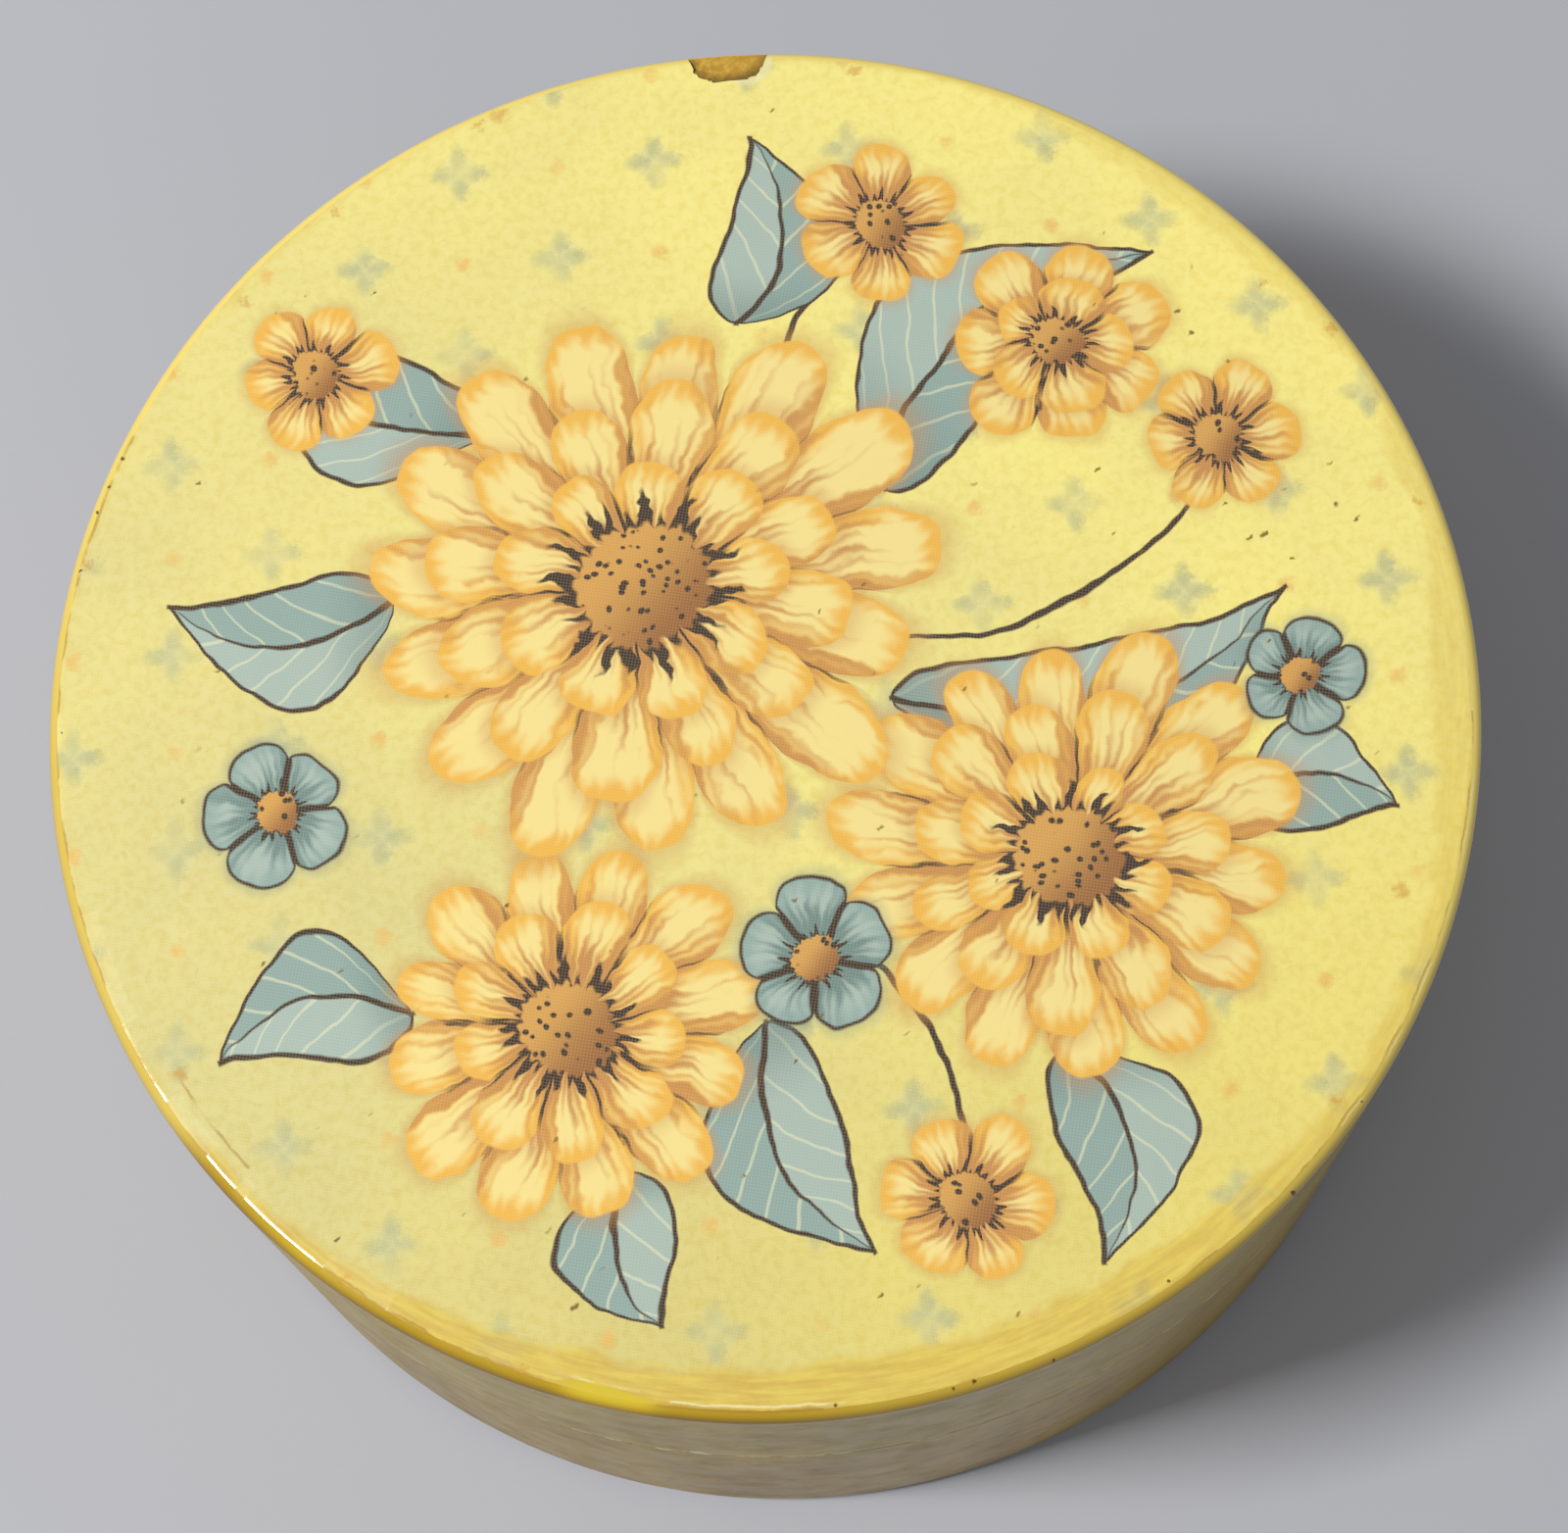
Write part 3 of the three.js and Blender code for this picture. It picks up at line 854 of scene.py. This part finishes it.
def lithograph(name, left, front):
    """Lithographed paper under gloss lacquer, for the tile with this left front corner, in millimetres. Only
    what reaches into the tile is drawn in it."""
    material, add, place = start_material(name, IOR=1.5)
    place = add("VectorMath MULTIPLY", place, (1, 1, 0))

    def reaches(x, y, size):
        across = max(left - x, 0, x - left - tile_size)
        return math.hypot(across, max(front - y, 0, y - front - tile_size)) < size

    # Paper: cream yellow, clouded over 20 mm and mottled by its fibres. Painted light and shade make it
    # darker towards the front left, brighter towards the back right and a deeper yellow towards the front.
    painted_light_slope = add("VectorMath DOT_PRODUCT", place, (0.0083, 0.0063, 0))
    cloud = add("TexNoise", place, Scale=0.05, Detail=3)
    printed = add("MixRGB", add("Math ADD", painted_light_slope, cloud), "#dcd18c", "#fff08a")
    # Painted shade: a deeper, darker yellow towards the front
    painted_front_shade = add("VectorMath DOT_PRODUCT", place, (0.004, -0.012, 0))
    painted_front_shade = add("MapRange", painted_front_shade, 0.1, 0.6, 0, 0.6, **soft)
    printed = add("MixRGB", painted_front_shade, printed, "#fdf6c6", blend_type="MULTIPLY")
    fibre = add("TexNoise", place, Scale=1.5, Detail=5, Roughness=0.6, Distortion=0.4)
    mottled = add("MapRange", fibre, 0.38, 0.72, 0, 0.42, **soft)
    printed = add("MixRGB", mottled, printed, "#ece0a4", blend_type="MULTIPLY")

    # Calico: sprigs and dots take turns on a square lattice that lies 3 degrees askew on the lid
    smudge = add("TexNoise", place, Scale=1.7, Detail=4, Roughness=0.75)
    smudged = add("VectorMath MULTIPLY_ADD", smudge.outputs["Color"], (1, 1, 0), place)
    shift = [(part - 0.5) / lattice_step + 0.5 for part in sprig_place]
    per_step = (1 / lattice_step, 1 / lattice_step, 0)
    lattice = add("Mapping", smudged, (*shift, 0), (0, 0, lattice_turn), per_step)
    cell = add("VectorMath FLOOR", lattice)
    in_cell = add("VectorMath FRACTION", lattice)
    in_cell = add("VectorMath SUBTRACT", in_cell, (0.5, 0.5, 0))
    in_cell = add("VectorMath ABSOLUTE", in_cell)
    known = {"smudge": smudge}
    for result, part, way in (("sum", cell, (1, 1, 0)), ("x", in_cell, (1, 0, 0)), ("y", in_cell, (0, 1, 0))):
        known[result] = add("VectorMath DOT_PRODUCT", part, way)
    for result, operation, *terms in (
        ("odd", "FLOORED_MODULO", "sum", 2),
        ("even", "SUBTRACT", 1, "odd"),
        ("along", "MAXIMUM", "x", "y"),
        ("across", "MINIMUM", "x", "y"),
        # A petal is 2 mm long and 1.2 mm wide, its middle 1.05 mm from the sprig's
        ("along petal", "MULTIPLY_ADD", "along", lattice_step, -1.05),
        ("across petal", "MULTIPLY", "across", lattice_step / 0.6),
        ("long square", "MULTIPLY", "along petal", "along petal"),
        ("from petal", "MULTIPLY_ADD", "across petal", "across petal", "long square"),
        ("from petal", "MULTIPLY_ADD", "smudge", 3, "from petal"),
        ("x square", "MULTIPLY", "x", "x"),
        ("from middle", "MULTIPLY_ADD", "y", "y", "x square"),
        ("from middle", "MULTIPLY_ADD", "smudge", 0.03, "from middle"),
    ):
        known[result] = add("Math " + operation, *[known.get(term, term) for term in terms])
    patchy = add("TexNoise", place, Scale=0.3, Detail=2)
    strength = add("MapRange", patchy, 0.3, 0.62, 0.3, 0.85, **soft)
    for source, start, end, share, shown, colour in (
        ("from middle", 0, 0.075, 0.75, "even", "#d4d4a4"),
        ("from petal", 1, 3.4, 0.95, "even", "#b5b786"),
        ("from middle", 0.012, 0.028, 0.9, "odd", "#ecb55c"),
    ):
        mask = add("MapRange", known[source], start, end, share, 0, **soft)
        mask = add("Math MULTIPLY", mask, known[shown])
        mask = add("Math MULTIPLY", mask, strength)
        printed = add("MixRGB", mask, printed, colour)

    # The posy, its drawing a little unsteady as a brush is
    unsteady = add("TexNoise", place, Scale=0.16, Detail=3)
    grain = add("TexNoise", place, Scale=0.33, Detail=3)
    drawn = shaken(add, place, unsteady, (2 * brush_wander, 2 * brush_wander))
    thin = [(*stem[:4], stem_width, stem[4]) for stem in stems]
    for x, y, degrees, length, width, bend in (*thin, *leaves):
        turn = math.radians(degrees)
        middle = Vector((x, y)) + length / 2 * Vector((math.cos(turn), math.sin(turn)))
        if reaches(*middle, length / 2 + 2 * brush_wander):
            printed = add(
                "Group", node_tree=drawn_leaf, Under=printed, Place=drawn, Root=(x, y, 0), Turn=turn,
                Length=length, Width=width, Bend=bend * 4,
            )
    for x, y, colours, heart_radius, *bloom_rings in blooms:
        at = {"Place": drawn, "Centre": (x, y, 0), "Grain": grain}
        for radius, petals, turn in bloom_rings:
            if reaches(x, y, 1.15 * radius + 0.5 + brush_wander):
                shape = {"Radius": radius, "Petals": petals, "Turn": turn}
                printed = add("Group", node_tree=petal_ring, Under=printed, **at, **shape, **colours)
        if reaches(x, y, 1.5 * heart_radius + brush_wander):
            printed = add(
                "Group", node_tree=bloom_heart, Under=printed, Radius=heart_radius, Fill="#d8a050", **at
            )

    # Halftone: the print is broken into dots of 0.21 mm, 120 to the inch, which show as a faint grain
    screen = add("Mapping", place, Rotation=(0, 0, screen_turn), Scale=(1 / screen_step,) * 3)
    screen = add("TexVoronoi", screen, Scale=1, Randomness=0)
    screen = add("MapRange", screen, 0.15, 0.6, 0, 0.1, **soft)
    printed = add("MixRGB", screen, printed, "#fbf3c2")

    # Dirt: the fly specks, and finer ones scattered by chance
    ragged = shaken(add, place, add("TexNoise", place, Scale=2.4, Detail=2), (0.7, 0.5))
    slanted = {"Rotation": (0, 0, speck_slant), "Scale": (speck_length, 1, 1)}
    slant = add("Mapping", ragged, **slanted, vector_type="TEXTURE")
    scatter = add("TexVoronoi", slant, Scale=0.55)
    chance = add("VectorMath DOT_PRODUCT", scatter.outputs["Color"], (1, 0, 0))
    chance = add("MapRange", chance, 0.45, 1, 0, 0.9, **soft)
    scatter = add("MapRange", scatter, 0.03, 0.09, 1, 0, **soft)
    scatter = add("Math MULTIPLY", scatter, chance)
    spots = []
    for x, y, size in specks:
        if reaches(x, y, 1):
            spot = Matrix.Rotation(-speck_slant, 2) @ Vector((x, y))
            spots.append((spot.x / speck_length, spot.y, size))
    dirt = add("MapRange", nearest(add, slant, spots), 0.5, 1.3, 0.9, 0, **soft)
    dirt = add("Math MAXIMUM", dirt, scatter)
    printed = add("MixRGB", dirt, printed, "#7c6320")

    wear = add("Group", node_tree=edge_wear, Place=place).outputs
    streaked = add("MapRange", wear["Streak"], 0.32, 0.7, 0, 1, **soft)
    pooled_colour = add("MixRGB", streaked, "#d0a433", "#e7c94b")
    golden, lemon = [
        add("Math MULTIPLY", wear["Rimmed"], wear[tone]) for tone in ("Golden", "Lemon")
    ]
    # The soiled and bared marks carry a painted shadow and a painted highlight along the lifted edge
    for mark, share, colour in (
        (wear["Pooled"], 0.62, pooled_colour), (golden, 0.45, "#b8912c"), (lemon, 0.95, "#ddc338"),
        (wear["Bared"], 0.8, "#f3e9b8"), (wear["Soiled"], 0.6, "#a88028"), (wear["Stained"], 0.55, "#d09434"),
        (wear["Nicked"], 0.9, "#5a441a"),
    ):
        printed = add("MixRGB", add("Math MULTIPLY", mark, share), printed, colour)

    # The lacquer over it: mirror smooth with a slow swell, and dulled a little in patches
    polish = add("TexNoise", place, Scale=0.12, Detail=4)
    dulled = add("MapRange", polish, 0.35, 0.7, 0.1, 0.24, **soft)
    dulled = add("Math MULTIPLY_ADD", wear["Matt"], 0.5, dulled)
    swell = add("TexNoise", place, Scale=0.25, Detail=3)
    relief = add("Bump", Height=swell, Strength=0.35, Distance=0.15 * mm)
    finish_with(material, Base_Color=printed, Roughness=dulled, Normal=relief)
    return material


# The printed disc: lithographed paper glued over board and joint and lacquered with them. Its face is cut
# into tiles of 24 mm, each with a material that draws only what reaches into it, because one for the whole
# posy would take minutes to render.
rim_depth = 1.5
lift_middle = math.radians(-96.5)
lift_reaches = (7.5, 6, 4.5, 2.5)
lift_rise = 0.04
lift_width = 1.1

section(0, lid_high.x, print_low.z - rim_depth, print_high.z)
round_corner(lid_high.x, print_high.z, rim_rounding, 10)
cut_away(print_high.x, print_low.z, lambda at: at.x > print_high.x or at.z < print_low.z)
printed_disc = turn_section("printed_disc")
bpy.ops.object.mode_set(mode="EDIT")
bpy.ops.mesh.select_mode(type="FACE")
bpy.ops.mesh.select_all(action="DESELECT")
for face in bmesh.from_edit_mesh(printed_disc.data).faces:
    face.select_set(face.normal.z > 0.9999)
bpy.ops.mesh.dissolve_faces()
# Its edge has lifted along the front, 12 mm long and 0.16 mm high in the middle
for reach in lift_reaches:
    bpy.ops.mesh.select_all(action="DESELECT")
    bpy.ops.mesh.select_mode(type="VERT")
    for vertex in bmesh.from_edit_mesh(printed_disc.data).verts:
        degrees = math.degrees(abs(math.atan2(vertex.co.y, vertex.co.x) - lift_middle))
        vertex.select_set(degrees < reach and math.hypot(*vertex.co.xy) > (lid_high.x - lift_width) * mm)
    bpy.ops.transform.translate(value=(0, 0, lift_rise * mm))
for line in range(-tile_size, 2 * tile_size, tile_size):
    for point, way in (((line * mm, 0, 0), (1, 0, 0)), ((0, line * mm, 0), (0, 1, 0))):
        bpy.ops.mesh.select_all(action="SELECT")
        bpy.ops.mesh.bisect(plane_co=point, plane_no=way)
bpy.ops.object.mode_set(mode="OBJECT")
tiles = {}
for face in printed_disc.data.polygons:
    corner = tuple(int(tile_size * math.floor(part / mm / tile_size)) for part in face.center[:2])
    if corner not in tiles:
        tiles[corner] = len(tiles)
        tile = lithograph(f"lithographed paper under gloss lacquer {len(tiles)}", *corner)
        printed_disc.data.materials.append(tile)
    face.material_index = tiles[corner]

# The chip at the back of the rim: lacquer and paper have come off the wood there, 5.6 mm wide and 0.3 mm
# deep. A ragged plate is cut out of wall and print.
chip_outer_width = 6.9
chip_inner_width = 4.1
chip_length = 3.4
chip_depth = 0.3
chip_corner = 1.1
chip_outward = 0.65
chip_turn = math.radians(-3.1)

bpy.ops.object.select_all(action="DESELECT")
bpy.ops.mesh.primitive_plane_add(size=1, location=(0, 0, 0))
chip = bpy.context.object
bpy.ops.object.mode_set(mode="EDIT")
bpy.ops.transform.resize(value=(chip_outer_width * mm, chip_length * mm, 1))
pick("VERT", lambda at: at.y < 0)
bpy.ops.transform.resize(value=(chip_inner_width / chip_outer_width, 1, 1))
bpy.ops.mesh.bevel(offset=chip_corner * mm, segments=6, affect="VERTICES")
bpy.ops.mesh.select_all(action="SELECT")
bpy.ops.mesh.subdivide(number_cuts=1)
bpy.ops.mesh.dissolve_faces()
bpy.ops.transform.vertex_random(offset=0.1 * mm, uniform=1, seed=4)
bpy.ops.transform.resize(value=(1, 1, 0))
bpy.ops.transform.rotate(value=-chip_turn, orient_axis="Z", center_override=(0, 0, 0))
bpy.ops.mesh.extrude_region_move(TRANSFORM_OT_translate={"value": (0, 0, 2 * mm)})
bpy.ops.mesh.select_all(action="SELECT")
bpy.ops.mesh.normals_make_consistent(inside=False)
chip_place = Vector((chip_centre.x, chip_centre.y + chip_outward, print_high.z - chip_depth))
bpy.ops.transform.translate(value=chip_place * mm)
bpy.ops.object.mode_set(mode="OBJECT")
chip.data.materials.append(bare_wood)
for chipped in (lid_wall, printed_disc):
    bpy.context.view_layer.objects.active = chipped
    cut = chipped.modifiers.new("chip", "BOOLEAN")
    cut.operation = "DIFFERENCE"
    cut.object = chip
    cut.solver = "EXACT"
    cut.material_mode = "TRANSFER"
    bpy.ops.object.modifier_apply(modifier=cut.name)
    even_shading(chipped)
bpy.data.objects.remove(chip)

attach(printed_disc, "lid")
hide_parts("lid_print")
